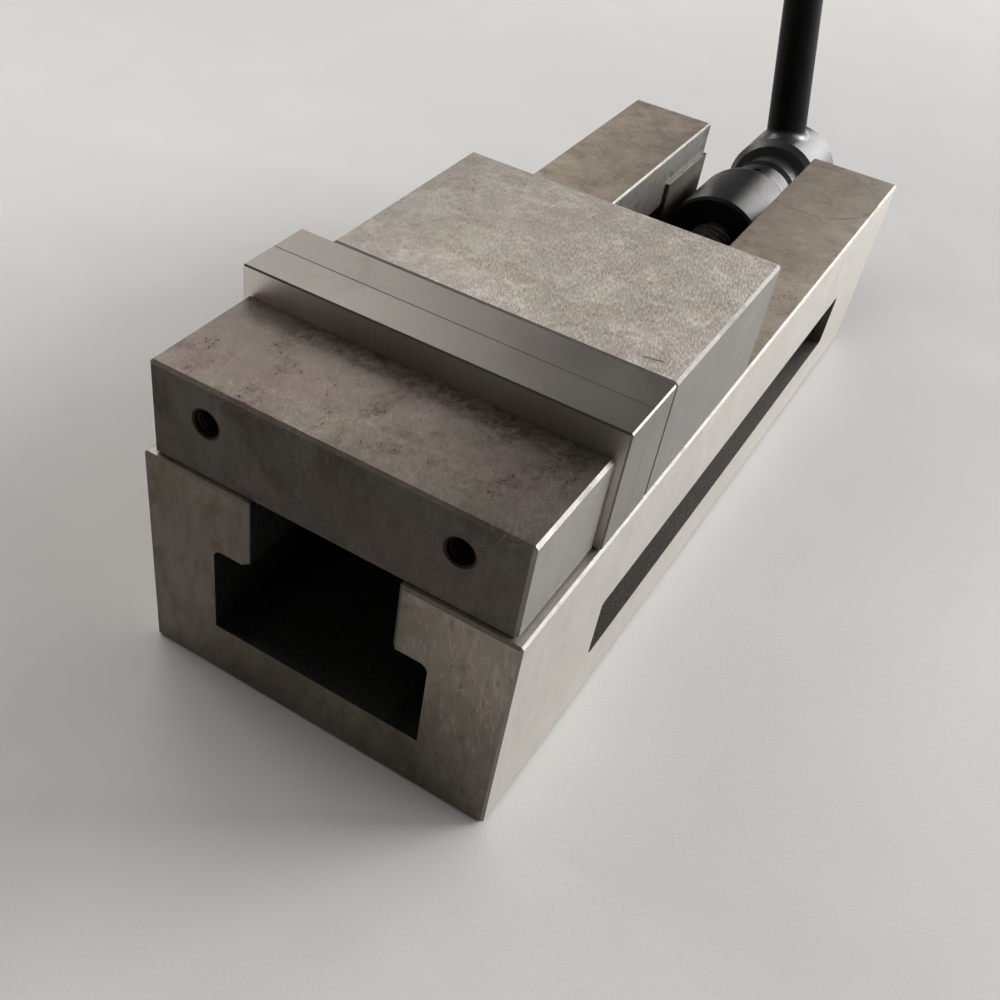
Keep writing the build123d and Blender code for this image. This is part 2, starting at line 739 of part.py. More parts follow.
# The cradle: a T shaped block bolted to the channel floor, with a trough for the nut
with BuildPart() as nut_cradle:
    with BuildSketch(facing_front(body_rear)):
        with Locations((0, floor_thickness)):
            foot_height = channel_top - channel_clearance - floor_thickness
            Rectangle(cradle_half_width * 2, foot_height, align=(Align.CENTER, Align.MIN))
            Rectangle(
                slide_neck_width,
                cradle_height - floor_thickness,
                align=(Align.CENTER, Align.MIN),
            )
    extrude(amount=cradle_length)
    long_edges = nut_cradle.edges().filter_by(Axis.Y)
    outer_edges = [edge for edge in long_edges if abs(edge.center().X) > slide_neck_width / 2 + cut_margin]
    chamfer([edge for edge in outer_edges if edge.center().Z > axis_height], channel_corner_radius)
    with BuildSketch(facing_front(body_rear)) as trough:
        trough_floor = floor_thickness + cradle_base
        with Locations((0, axis_height)):
            Circle(nut_pocket_radius)
            Rectangle(
                nut_pocket_radius * 2,
                cradle_height - axis_height + cut_margin,
                align=(Align.CENTER, Align.MIN),
            )
        with Locations((0, trough_floor)):
            Rectangle(
                nut_pocket_radius * 2,
                nut_pocket_radius,
                align=(Align.CENTER, Align.MAX),
                mode=Mode.SUBTRACT,
            )
    extrude(amount=cradle_length - cradle_front_wall, mode=Mode.SUBTRACT)
    with BuildSketch(facing_front(nut_front)):
        with Locations((0, axis_height)):
            Circle(spindle_radius + cradle_wall_bore_clearance)
            Rectangle(
                nut_pocket_radius * 2,
                cradle_height - axis_height + cut_margin,
                align=(Align.CENTER, Align.MIN),
            )
    extrude(amount=cradle_front_wall, mode=Mode.SUBTRACT)
    with Locations(*[facing_down(x, y, floor_thickness) for x, y in cradle_bolt_places]):
        Hole(cradle_bolt_size / 2 + thread_clearance, depth=cradle_bolt_reach + dowel_end_relief)
    for side in (-1, 1):
        with Locations(Plane(origin=(side * cradle_half_width, pin_y, axis_height), z_dir=(side, 0, 0))):
            Hole(cross_pin_radius + thread_clearance, depth=cradle_half_width - nut_radius + cut_margin)
save(nut_cradle, "nut_cradle")

with BuildPart() as nut_cross_pins:
    pin_end_gap = channel_clearance
    pin_outer = cradle_half_width - pin_end_gap
    pin_inner = nut_radius - cross_pin_depth + pin_end_gap
    for side in (-1, 1):
        with Locations(Plane(origin=(side * pin_outer, pin_y, axis_height), z_dir=(side, 0, 0))):
            Cylinder(
                cross_pin_radius,
                pin_outer - pin_inner,
                align=(Align.CENTER, Align.CENTER, Align.MAX),
            )
    chamfer(nut_cross_pins.edges().filter_by(GeomType.CIRCLE), stop_hole_chamfer)
save(nut_cross_pins, "nut_cross_pins")

cradle_bolt = cap_screw(
    cradle_bolt_size,
    floor_thickness - cradle_bolt_head_depth + cradle_bolt_reach,
    cradle_bolt_head_radius,
    cradle_bolt_head_height,
    cradle_bolt_key,
)
with BuildPart() as cradle_bolts:
    with Locations(*[facing_down(x, y, cradle_bolt_head_depth) for x, y in cradle_bolt_places]):
        add(cradle_bolt)
save(cradle_bolts, "cradle_bolts")

# The crank: a forged hub with a hexagon socket, a round arm and an eye for the grip's bolt
lean_x, lean_z = -sin(radians(crank_lean)), cos(radians(crank_lean))
eye_x = lean_x * arm_length
eye_z = axis_height + lean_z * arm_length
eye_front, eye_rear = arm_y - eye_length / 2, arm_y + eye_length / 2
with BuildPart() as crank:
    add(
        turned(
            [
                (hub_front, 0),
                (hub_front, hub_radius - hub_chamfer),
                (hub_front + hub_chamfer, hub_radius),
                (hub_rear - hub_chamfer, hub_radius),
                (hub_rear, hub_radius - hub_chamfer),
                (hub_rear, 0),
            ]
        )
    )
    with Locations(Plane(origin=(0, arm_y, axis_height), x_dir=(0, 1, 0), z_dir=(lean_x, 0, lean_z))):
        Cone(arm_root_radius, arm_tip_radius, arm_length, align=(Align.CENTER, Align.CENTER, Align.MIN))
    root_edges = [edge for edge in crank.edges() if edge.geom_type not in (GeomType.CIRCLE, GeomType.LINE)]
    fillet(root_edges, arm_fillet)
    add(
        turned(
            [
                (eye_front, 0),
                (eye_front, eye_radius - eye_chamfer),
                (eye_front + eye_chamfer, eye_radius),
                (eye_rear - eye_chamfer, eye_radius),
                (eye_rear, eye_radius - eye_chamfer),
                (eye_rear, 0),
            ],
            eye_x,
            eye_z,
        )
    )
    add(
        turned(
            [
                (crank_front, 0),
                (crank_front, crank_neck_radius - spindle_chamfer),
                (crank_front + spindle_chamfer, crank_neck_radius),
                (hub_front + hub_chamfer, crank_neck_radius),
                (hub_front + hub_chamfer, 0),
            ]
        )
    )
    add(ring(crank_front - cut_margin, hex_front, 0, spindle_radius + wiper_clearance), mode=Mode.SUBTRACT)
    socket = hexagon(hub_rear, hex_width + 2 * socket_clearance)
    extrude(socket, amount=hex_front - hub_rear, mode=Mode.SUBTRACT)
    with Locations(Plane(origin=(eye_x, eye_rear, eye_z), z_dir=(0, 1, 0))):
        Hole(grip_bolt_thread_radius + thread_clearance, depth=eye_length)
save(crank, "crank")

# The grip turns freely on a shoulder bolt screwed into the eye
washer_rear = eye_rear + grip_washer_thickness
grip_front = washer_rear + wiper_clearance
grip_rear = grip_front + grip_length
grip_seat = grip_rear - grip_bolt_head_height - grip_head_sink
with BuildPart() as crank_grip:
    grip_bore = grip_bolt_radius + running_clearance
    with BuildSketch(Plane(origin=(eye_x, 0, eye_z), x_dir=(0, 1, 0), z_dir=(1, 0, 0))):
        with BuildLine():
            Polyline(
                (grip_rear - grip_end_round, grip_end_radius),
                (grip_rear, grip_end_radius - grip_end_round / 2),
                (grip_rear, grip_bolt_head_radius + wiper_clearance),
                (grip_seat, grip_bolt_head_radius + wiper_clearance),
                (grip_seat, grip_bore),
                (grip_front, grip_bore),
                (grip_front, grip_front_radius),
            )
            Spline(
                (grip_front, grip_front_radius),
                (grip_front + grip_length * grip_belly_share, grip_belly_radius),
                (grip_rear - grip_end_round, grip_end_radius),
            )
        make_face()
    revolve(axis=Axis((eye_x, 0, eye_z), (0, 1, 0)))
save(crank_grip, "crank_grip")

with BuildPart() as grip_washer:
    with BuildSketch(facing_front(washer_rear)):
        with Locations((eye_x, eye_z)):
            Circle(grip_washer_radius)
            Circle(grip_bolt_thread_radius + thread_clearance, mode=Mode.SUBTRACT)
    extrude(amount=grip_washer_thickness)
save(grip_washer, "grip_washer")

with BuildPart() as grip_bolt:
    head_front = grip_seat + wiper_clearance
    head_rear = head_front + grip_bolt_head_height
    thread_front = eye_front + eye_chamfer
    add(
        turned(
            [
                (thread_front, 0),
                (thread_front, grip_bolt_thread_radius),
                (washer_rear, grip_bolt_thread_radius),
                (washer_rear, grip_bolt_radius),
                (head_front, grip_bolt_radius),
                (head_front, grip_bolt_head_radius),
                (head_rear, grip_bolt_head_radius),
                (head_rear, 0),
            ],
            eye_x,
            eye_z,
        )
    )
    with BuildSketch(facing_rear(head_rear, eye_x, eye_z)):
        RegularPolygon(grip_bolt_key / 2, 6, major_radius=False)
    extrude(amount=-grip_bolt_head_height / 2, mode=Mode.SUBTRACT)
save(grip_bolt, "grip_bolt")
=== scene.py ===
# Machine vise: a ground steel bed and jaws with a black nut and crank, on a plain pale floor
from math import cos, radians, sin, tau
import bpy
import numpy as np
from mathutils import Matrix, Vector


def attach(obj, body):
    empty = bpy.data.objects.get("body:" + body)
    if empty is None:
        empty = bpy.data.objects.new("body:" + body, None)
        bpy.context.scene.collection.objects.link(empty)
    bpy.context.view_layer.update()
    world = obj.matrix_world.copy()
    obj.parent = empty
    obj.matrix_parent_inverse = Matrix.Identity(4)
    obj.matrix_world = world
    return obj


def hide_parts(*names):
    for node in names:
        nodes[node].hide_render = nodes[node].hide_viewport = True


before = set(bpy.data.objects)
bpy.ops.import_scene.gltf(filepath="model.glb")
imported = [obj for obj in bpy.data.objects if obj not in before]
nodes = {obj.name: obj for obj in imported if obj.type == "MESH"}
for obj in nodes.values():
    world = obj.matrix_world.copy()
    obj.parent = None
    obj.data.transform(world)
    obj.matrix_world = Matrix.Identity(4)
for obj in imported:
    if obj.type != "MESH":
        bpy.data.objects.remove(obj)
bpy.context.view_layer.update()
print("frame loaded with", len(nodes), "nodes")

class Wire:
    # One output of a shader node: + - * ** and comparisons on it add Math nodes
    def __init__(self, finish, socket):
        self.finish, self.socket = finish, socket

    def maths(self, operation, *values):
        return self.finish.node("ShaderNodeMath", {"operation": operation}, dict(enumerate(values)))

    def __add__(self, other):
        return self.maths("ADD", self, other)

    def __mul__(self, other):
        return self.maths("MULTIPLY", self, other)

    def __sub__(self, other):
        return self.maths("SUBTRACT", self, other)

    def __rsub__(self, other):
        return self.maths("SUBTRACT", other, self)

    def __pow__(self, other):
        return self.maths("POWER", self, other)

    def __gt__(self, other):
        return self.maths("GREATER_THAN", self, other)

    def __lt__(self, other):
        return self.maths("LESS_THAN", self, other)

    def __abs__(self):
        return self.maths("ABSOLUTE", self)

    __radd__, __rmul__ = __add__, __mul__


class Finish:
    # A material: node() adds any node, sets its settings first and then its sockets
    def __init__(self, name):
        self.material = bpy.data.materials.new(name)
        self.material.use_nodes = True
        self.tree = self.material.node_tree
        self.tree.nodes.clear()
        self.place = self.node("ShaderNodeTexCoord", output="Object")
        self.facing = self.node("ShaderNodeTexCoord", output="Normal")

    def node(self, kind, settings=None, sockets=None, output=0):
        made = self.tree.nodes.new(kind)
        for key, value in (settings or {}).items():
            setattr(made, key, value)
        for key, value in (sockets or {}).items():
            if isinstance(value, Wire):
                self.tree.links.new(value.socket, made.inputs[key])
            elif value is not None:
                made.inputs[key].default_value = value
        if isinstance(output, tuple):
            return [Wire(self, made.outputs[n]) for n in output]
        return Wire(self, made.outputs[output])

    # The place in millimetres, turned about Z and then stretched by one factor per axis
    def stretch(self, factors, turn=0.0, where=None):
        unit = 1 if where else 1000
        scale = [1 / (unit * f) for f in factors]
        return self.node("ShaderNodeMapping", {"vector_type": "TEXTURE"},
                         {"Vector": where or self.place, "Scale": scale, "Rotation": (0, 0, radians(turn))})

    # Cloudy noise whose lumps are about size millimetres
    def cloud(self, size, detail=3.0, rough=0.55, where=None, warp=0.0):
        where = where or self.stretch((1, 1, 1))
        return self.node("ShaderNodeTexNoise", {}, {"Vector": where, "Scale": 1 / size, "Detail": detail,
                                                    "Roughness": rough, "Distortion": warp})

    # 0 below low, 1 above high, smooth between
    def rise(self, value, low, high):
        return self.node("ShaderNodeMapRange", {"interpolation_type": "SMOOTHSTEP"},
                         {0: value, 1: low, 2: high, 3: 0.0, 4: 1.0})

    # Colour between two, by a share
    def blend(self, share, first, second):
        colours = [c if isinstance(c, Wire) else (*c, 1.0) for c in (first, second)]
        return self.node("ShaderNodeMix", {"data_type": "RGBA"}, {0: share, 6: colours[0], 7: colours[1]}, output=2)

    # A colour times a number
    def scaled(self, colour, factor):
        return self.node("ShaderNodeVectorMath", {"operation": "SCALE"}, {"Vector": colour, "Scale": factor})

    # The three parts of a vector
    def parts(self, vector):
        return self.node("ShaderNodeSeparateXYZ", {}, {0: vector}, output=(0, 1, 2))

    # Thin curved lines: where warped noise crosses its middle value, within a share of its range
    def threads(self, size, width, where, warp=0.9):
        return 1 - self.rise(abs(self.cloud(size, 1.0, 0.4, where, warp) - 0.5), width * 0.4, width)

    # Small separate marks in the middles of scattered cells, of which a share is marked
    def specks(self, size, radius, share, where=None):
        where = where or self.stretch((1, 1, 1))
        far, colour = self.node("ShaderNodeTexVoronoi", {}, {"Vector": where, "Scale": 1 / size}, output=(0, 1))
        return (1 - self.rise(far, radius * 0.6, radius)) * (self.parts(colour)[0] < share)

    # A short straight mark round a point of the x-y plane, soft at its edges
    def dash(self, x, y, centre, halfLength, halfWidth, turn):
        c, s = cos(radians(turn)), sin(radians(turn))
        along = (x - centre[0]) * c + (y - centre[1]) * s
        across = (y - centre[1]) * c - (x - centre[0]) * s
        length = 1 - self.rise(abs(along), halfLength * 0.6, halfLength)
        return length * (1 - self.rise(abs(across), halfWidth * 0.4, halfWidth))

    # The Principled shader with a bump of the given depth in mm, and fixed values on its own sockets
    def surface(self, colour, rough, metallic=0.0, bump=None, depth=0.1, fixed=None):
        sockets = {"Base Color": colour, "Roughness": rough, "Metallic": metallic}
        if bump is not None:
            sockets["Normal"] = self.node("ShaderNodeBump", {}, {"Height": bump, "Distance": depth / 1000,
                                                                 "Strength": 1.0})
        sockets.update(fixed or {})
        shader = self.node("ShaderNodeBsdfPrincipled", {}, sockets)
        out = self.tree.nodes.new("ShaderNodeOutputMaterial")
        self.tree.links.new(shader.socket, out.inputs["Surface"])
        return self.material


# light and dark are the steel's two tones and stain its oil film; faces are factors of tone of its sides, its ends and
# its top, painted light and shade for the way each faces the lamps; lean is painted light and shade on the top, how
# much paler it is towards its left, its right and its rear; edges is painted shade, how much darker its side chamfers
# are;
# gloss is its roughness; cloudy, sanded, curls, marks, mottled, scuffed, stained, cleaned and wiped say how strong the
# broad and small clouds, the sanding strokes, the curled rubbing lines, the dark nicks, the upright streaks, the
# scuffs, the oil film, the cleaned sides and the pale wiping arcs are; hues are two tints that share it
steelLooks = {
    "body": dict(
        light=(0.37, 0.325, 0.272), dark=(0.258, 0.22, 0.176), stain=(0.15, 0.105, 0.066),
        faces=(1.58, 0.60, 1.2), lean=(0.24, 0.05, -0.2), edges=0.44, gloss=0.47, cloudy=(0.9, 0.8), sanded=0.38,
        curls=0.3, marks=0.8, mottled=1.9, scuffed=0.3, stained=0.55, cleaned=0.62, wiped=0.07,
        hues=((1.02, 0.985, 0.985), (0.985, 1.0, 0.965)),
    ),
    "fixed_jaw": dict(
        light=(0.30, 0.27, 0.231), dark=(0.205, 0.18, 0.15), stain=(0.115, 0.085, 0.06),
        faces=(1.05, 0.41, 0.87), lean=(-0.22, -0.24, 0.0), edges=0.45, gloss=0.45, cloudy=(0.7, 0.9), sanded=0.38,
        curls=0.55, marks=1.25, mottled=0.9, scuffed=0.5, stained=0.6, cleaned=0.5, wiped=0.10,
        hues=((1.04, 0.955, 0.985), (1.0, 0.98, 0.965)),
    ),
    "movable_jaw": dict(
        light=(0.46, 0.427, 0.386), dark=(0.30, 0.273, 0.24), stain=(0.25, 0.208, 0.162),
        faces=(0.67, 0.6, 1.34), lean=(-0.27, 0.04, 0.0), edges=0.62, gloss=0.50, cloudy=(0.4, 0.5), sanded=1.1,
        curls=0.3, marks=0.65, mottled=0.4, scuffed=0.3, stained=0.5, cleaned=0.3, wiped=0.16,
        hues=((1.005, 0.997, 1.0), (0.995, 1.0, 0.99)),
    ),
    "nut_cradle": dict(
        light=(0.33, 0.31, 0.27), dark=(0.22, 0.20, 0.17), stain=(0.11, 0.083, 0.06),
        faces=(0.9, 0.8, 1.0), lean=(0.0, 0.0, 0.0), edges=0.22, gloss=0.44, cloudy=(0.9, 0.9), sanded=0.25,
        curls=0.3, marks=1.2, mottled=0.8, scuffed=0.6, stained=0.7, cleaned=0.0, wiped=0.05,
        hues=((1.02, 0.985, 0.985), (0.985, 1.0, 0.965)),
    ),
}
steelMetal = 0.9
wipedSide = (0.41, 0.40, 0.385)

# The ground steel's patterns, in mm and degrees: the sizes of its clouds, and one row for each layer of a mark. A row
# of swirls or curls is size, width, stretch, turn and warp; a row of scuffs or nicks is size, radius, share, stretch
# and turn
steelPattern = dict(
    broad=38, patch=9, small=3.2, grain=0.5, film=30, cluster=13, scuffed=17, curled=15, crossed=26, tint=31,
    stroke=((1.6, 0.36, 1), 20), crossStroke=((1.3, 0.26, 1), -12), crossArea=((1, 0.8, 1), 30),
    clustered=((1, 0.75, 1.2), 12), upright=(0.16, 0.16, 0.045),
    swirls=((21, 0.055, (1, 0.8, 1), 25, 1.3), (13, 0.04, (1.1, 0.8, 1), -20, 0.9)),
    curls=((9.0, 0.028, (1, 0.8, 1), 25, 1.4), (5.0, 0.03, (1.2, 0.7, 1), -20, 1.0)),
    scuffs=((2.6, 0.20, 0.34, (1.7, 0.24, 1), 16), (3.1, 0.17, 0.30, (1.7, 0.2, 1), -34),
            (2.9, 0.16, 0.26, (1.6, 0.26, 1), 62)),
    nicks=((1.9, 0.26, 0.5, (1.3, 0.5, 1), 38), (1.2, 0.3, 0.45, (0.55, 1.2, 1), 10)),
    flecks=(7.0, 0.05, 0.25),
)
# How far each mark takes the colour to its own, before the look's strength, and how high it stands in the bump
steelShare = dict(raisedStrokeGlint=0.32, sunk=0.38, curls=0.4, scuffs=0.42, flecks=0.6, grime=0.4, nicks=0.75, mottle=1.1)
steelBump = dict(grain=0.6, strokes=1.1, curls=0.3, scuffs=0.5, nicks=-1.2, depth=0.03)

# Where the steel changes along the vise, in mm: the sanding is freshest at the right front of a jaw's top, and the
# painted light and shade of a top leans towards its left, its right and its rear
freshSanding = dict(slant=0.25, ragged=110, none=-55.0, full=35.0, least=0.4)
paintedLeanRanges = dict(left=(-70.0, -5.0), right=(5.0, 70.0), rear=(180.0, 330.0))


# Ground steel: two tones shared out by the sum of broad, small and grain clouds and upright streaks, then an oil film,
# wiping arcs, sanding strokes with painted glints, curls, scuffs, flecks, grime and nicks, each blended in by its own
# mask, and last painted light and shade: factors of tone for side, end and top by the way that the face looks, darker
# chamfers, and the lean by the place on the top
def groundSteel(name, look):
    steel, pattern, share = Finish(name), steelPattern, steelShare
    x, y, z = steel.parts(steel.stretch((1, 1, 1)))
    aside, ahead, upwards = steel.parts(steel.facing)
    side, front, top = [steel.rise(abs(part), 0.85, 0.95) for part in (aside, ahead, upwards)]
    slope = (1 - side) * (1 - front) * (1 - top)
    # across and along each flat face, with the face's own place as the third part
    across, along, level = x + (z - x) * side, y + (z - y) * front, x * side + y * front + z * top
    flat = steel.node("ShaderNodeCombineXYZ", {}, {0: across, 1: along, 2: level})

    def laid(stretch, turn):
        return steel.stretch(stretch, turn, flat)

    broad = steel.cloud(pattern["broad"], 2.0, 0.6, warp=0.5)
    patch = steel.cloud(pattern["patch"], 3.0, 0.62, warp=1.0)
    small = steel.cloud(pattern["small"], 3.0, 0.65, warp=0.6)
    grain = steel.cloud(pattern["grain"], 1.5, 0.6)
    f = freshSanding
    fresh = steel.rise(x - y * f["slant"] + (broad - 0.5) * f["ragged"], f["none"], f["full"])
    coarse = top * (fresh * (1 - f["least"]) + f["least"]) * look["sanded"] + 0.1
    # short strokes along the face, crossed here and there by others that lean away
    strokes = steel.cloud(1.0, 1.5, 0.6, laid(*pattern["stroke"]))
    crossing = steel.cloud(1.0, 1.5, 0.6, laid(*pattern["crossStroke"]))
    area = steel.rise(steel.cloud(pattern["crossed"], 2.0, 0.5, where=laid(*pattern["crossArea"])), 0.46, 0.58)
    strokes = strokes + (crossing - strokes) * (area * 0.3)
    # the strokes' raised parts are paler: partly their own fresh sanding marks, partly painted glints
    raisedStrokeGlint = steel.rise(strokes, 0.50, 0.64)
    sunk = 1 - steel.rise(strokes, 0.36, 0.48)
    # soft pale bands curling over the face, and thin curled rubbing lines where hands and cloths went
    swirls, curls = [sum(steel.threads(size, width, laid(stretch, turn), warp)
                         for size, width, stretch, turn, warp in pattern[mark]) for mark in ("swirls", "curls")]
    rubbed = curls * steel.rise(steel.cloud(pattern["curled"], 1.0), 0.50, 0.64)
    hatch, nicks = [sum(steel.specks(size, radius, part, laid(stretch, turn))
                        for size, radius, part, stretch, turn in pattern[mark]) for mark in ("scuffs", "nicks")]
    scuffs = hatch * steel.rise(steel.cloud(pattern["scuffed"], 2.0, 0.6), 0.46, 0.60)
    cluster = steel.cloud(pattern["cluster"], 1.5, where=steel.stretch(*pattern["clustered"]))
    nicks = nicks * steel.rise(cluster, 0.52, 0.60) * steel.rise(small, 0.40, 0.52) * (top * 0.9 + 0.1)
    flecks = steel.specks(*pattern["flecks"])
    grime = steel.rise(cluster, 0.50, 0.66) * steel.rise(small, 0.38, 0.62)
    upright = steel.cloud(1.0, 3.0, 0.6, steel.stretch(pattern["upright"]), 0.8)
    mottle = (upright - 0.5) * ((front + side * 0.35) * look["mottled"] * share["mottle"])
    clouds = (broad - 0.5) * look["cloudy"][0] + (patch - 0.5) * look["cloudy"][1] + (small - 0.5) * 0.4
    tone = clouds + 0.5 + (grain - 0.5) * (coarse * 0.8 + 0.2) + mottle
    colour = steel.blend(steel.rise(tone, 0.05, 0.98), look["dark"], look["light"])
    oily = steel.cloud(pattern["film"], 3.0, 0.62, warp=1.0)
    oily = oily + (patch - 0.5) * (look["cloudy"][1] * 0.5) + (small - 0.5) * 0.25
    film = steel.rise(oily, 0.50, 0.76) * (look["stained"] * (1 - side * 0.7))
    colour = steel.blend(film, colour, look["stain"])
    pale = [min(1.0, c * 1.55) for c in look["light"]]
    deep, darkest = [c * 0.6 for c in look["dark"]], [c * 0.22 for c in look["dark"]]
    colour = steel.blend(swirls * steel.rise(patch, 0.36, 0.6) * (top * look["wiped"]), colour, pale)
    colour = steel.blend(raisedStrokeGlint * (coarse * share["raisedStrokeGlint"]), colour, pale)
    colour = steel.blend(sunk * (coarse * share["sunk"]), colour, deep)
    scraped = rubbed * (look["curls"] * share["curls"]) + scuffs * (look["scuffed"] * share["scuffs"])
    colour = steel.blend(scraped, colour, pale)
    colour = steel.blend(flecks * share["flecks"], colour, pale)
    colour = steel.blend(grime * (top * (look["marks"] * share["grime"])), colour, look["stain"])
    colour = steel.blend(nicks * (look["marks"] * share["nicks"]), colour, darkest)

    # painted light and shade: sides, ends and top each take a factor of tone for the way they face the lamps, the top
    # leans paler or darker to its left, right and rear, and the side chamfers are painted darker
    sides, ends, tops = look["faces"]
    left, right, rear = look["lean"]
    lean = (1 - steel.rise(x, *paintedLeanRanges["left"])) * left + steel.rise(x, *paintedLeanRanges["right"]) * right
    lean = lean + steel.rise(y, *paintedLeanRanges["rear"]) * (x > 0) * rear
    aslant = slope * steel.rise(abs(aside), 0.3, 0.6)
    shade = 1 + side * (sides - 1) + front * (ends - 1) + top * (tops - 1) - aslant * look["edges"]
    colour = steel.blend((side + aslant) * look["cleaned"], colour, wipedSide)
    hue = steel.blend(steel.rise(steel.cloud(pattern["tint"], 1.0), 0.40, 0.62), *look["hues"])
    hue = steel.blend(side * 0.8, hue, (1.0, 1.0, 1.0))
    colour = steel.node("ShaderNodeVectorMath", {"operation": "MULTIPLY"}, {0: colour, 1: hue})
    colour = steel.scaled(colour, shade * (1 + top * lean))
    gloss = look["gloss"] + (patch - 0.5) * 0.2 + film * 0.10 + top * (look["sanded"] * 0.06) + slope * 0.07

    seen = dict(x=x, y=y, z=z, top=top, front=front, flat=flat, broad=broad, patch=patch, small=small, strokes=strokes,
                hatch=hatch, pale=pale)
    metal = steelMetal
    if name == "body":
        colour, metal = bedMillingAndShade(steel, seen, colour)
        colour = bedMarks(steel, seen, look, colour)
    if name == "fixed_jaw":
        colour = fixedJawMarks(steel, seen, colour)
    if name == "movable_jaw":
        colour = movableJawNick(steel, seen, colour)
    b = steelBump
    height = grain * (coarse * b["grain"]) + strokes * (coarse * b["strokes"]) + rubbed * b["curls"]
    height = height + scuffs * b["scuffs"] + nicks * b["nicks"]
    return steel.surface(colour, gloss, metal, height, b["depth"])


# The bed's insides, in mm: painted shade in the channel under the rails, its neck and the walls above it, and the
# milled side slots
bedInside = dict(halfWidth=45.2, bottom=24.0, top=64.5, neckHalf=30.3, neckTop=92.8, neckRear=10.0, front=-71.3,
                 rear=338.3, floor=((0.028, 0.028, 0.027), (0.055, 0.053, 0.05)), dulled=0.4)
bedWalls = dict(oil=(0.045, 0.042, 0.038), oiled=0.55, blotch=(0.035, 0.025, 0.018), blotched=0.45, size=9)
bedSlots = dict(inner=50.0, outer=75.3, bottom=23.9, top=52.1, front=2.4, rear=282.6,
                tones=((0.10, 0.092, 0.083), (0.17, 0.158, 0.145)))


# Boxes of x, y and z, each face a comparison: the side slots take the milled tones, shared out by cutter marks
# stretched along the cut; the channel and its neck take near-black painted shade, and the walls a darker painted shade
# with stains
def bedMillingAndShade(steel, seen, colour):
    x, y, z, inside, slot, wall = seen["x"], seen["y"], seen["z"], bedInside, bedSlots, bedWalls
    between = (y > inside["front"]) * (y < inside["rear"])
    low = (abs(x) < inside["halfWidth"]) * (z > inside["bottom"]) * (z < inside["top"])
    middle = (abs(x) < inside["neckHalf"]) * (z < inside["neckTop"]) * (z > inside["bottom"])
    neck, walls = middle * (y < inside["neckRear"]), middle * (y > inside["neckRear"]) * (y < inside["rear"])
    milled = steel.rise(steel.cloud(1.0, 1.0, where=steel.stretch((1, 0.6, 0.14)), warp=0.3), 0.35, 0.7)
    skewed = steel.node("ShaderNodeCombineXYZ", {}, {0: x, 1: y + z * 0.8, 2: z})
    cutter = steel.rise(steel.cloud(1.0, 1.0, where=steel.stretch((1, 1.5, 0.12), 0, skewed)), 0.4, 0.66)
    slots = (abs(x) < slot["outer"]) * (abs(x) > slot["inner"]) * (z > slot["bottom"]) * (z < slot["top"])
    slots = slots * (y > slot["front"]) * (y < slot["rear"])
    colour = steel.blend(slots, colour, steel.blend(cutter, *slot["tones"]))
    # painted shade: the channel and its neck near black, the walls above darker; the blotches are stains
    colour = steel.blend((low + neck) * between, colour, steel.blend(milled, *inside["floor"]))
    colour = steel.blend(walls * wall["oiled"], colour, wall["oil"])
    blotches = steel.rise(steel.cloud(wall["size"], 3.0, 0.6, warp=0.6), 0.52, 0.64)
    colour = steel.blend(walls * blotches * wall["blotched"], colour, wall["blotch"])
    return colour, steelMetal - (low + neck) * between * inside["dulled"]


# Marks on the bed, in mm: the bare ledge beside the fixed jaw, the ring that a can left on the right rail, and the
# front face's right corner, which is rubbed pale, hatched and cut
bedLedge = dict(halfWidth=70.5, rear=45.0, bottom=90.0, cleaned=0.7)
canRing = dict(centre=(44.5, 301.0), radius=30.0, width=1.3, bottom=92.0, strength=0.55)
wornCorner = dict(across=(26.0, 44.0), up=(26.0, 46.0), ragged=30, paler=(40.0, 75.0), cut=(44.0, 60.0),
                  rubs=((0.6, 0.13, 1), 9), cuts=((0.7, 0.17, 1), 5), hatched=0.34, cutDepth=0.5)


# The ledge is a box; the ring is where the distance from its centre is near its radius; the corner rises along x and z,
# with its border moved about by the clouds
def bedMarks(steel, seen, look, colour):
    x, y, z, patch, bare, can, corner = seen["x"], seen["y"], seen["z"], seen["patch"], bedLedge, canRing, wornCorner
    ledge = seen["top"] * (abs(x) > bare["halfWidth"]) * (y < bare["rear"]) * (z > bare["bottom"])
    colour = steel.blend(ledge * bare["cleaned"], colour, wipedSide)
    far = ((x - can["centre"][0]) ** 2 + (y - can["centre"][1]) ** 2) ** 0.5
    ring = 1 - steel.rise(abs(far - can["radius"]), can["width"] * 0.3, can["width"])
    ring = ring * (z > can["bottom"]) * steel.rise(patch, 0.38, 0.6)
    colour = steel.blend(ring * can["strength"], colour, look["stain"])
    worn = seen["front"] * steel.rise(x + (patch - 0.5) * corner["ragged"], *corner["across"])
    worn = worn * steel.rise(z + (seen["broad"] - 0.5) * corner["ragged"], *corner["up"])
    rubs, cuts = [steel.stretch(*corner[mark], seen["flat"]) for mark in ("rubs", "cuts")]
    rubs = steel.rise(steel.cloud(1.0, 2.0, 0.55, rubs, 0.4), 0.52, 0.68)
    cuts = steel.rise(steel.cloud(1.0, 2.0, 0.5, cuts, 0.3), 0.60, 0.68) * steel.rise(seen["small"], 0.42, 0.56)
    paler = rubs * 0.2 + steel.rise(z, *corner["paler"]) * 0.22 + 0.08
    colour = steel.blend(worn * paler, colour, seen["pale"])
    colour = steel.blend(worn * seen["hatch"] * corner["hatched"], colour, seen["pale"])
    cut = worn * cuts * steel.rise(z, *corner["cut"]) * corner["cutDepth"]
    return steel.blend(cut, colour, [c * 0.35 for c in look["dark"]])


# On the fixed jaw, in mm: painted shade in its two tapped holes and their countersinks, and grime with painted shade
# along its plate's foot
holeShade = dict(offset=48.5, height=116.4, radius=5.7, soft=0.5, depth=-40.0, colour=(0.035, 0.024, 0.018))
plateFootGrimeShade = dict(middle=-23.5, halfWidth=7.5, ragged=9, across=(-62.0, -38.0), raggedEnd=60, strength=0.6,
                 colour=(0.06, 0.046, 0.036))
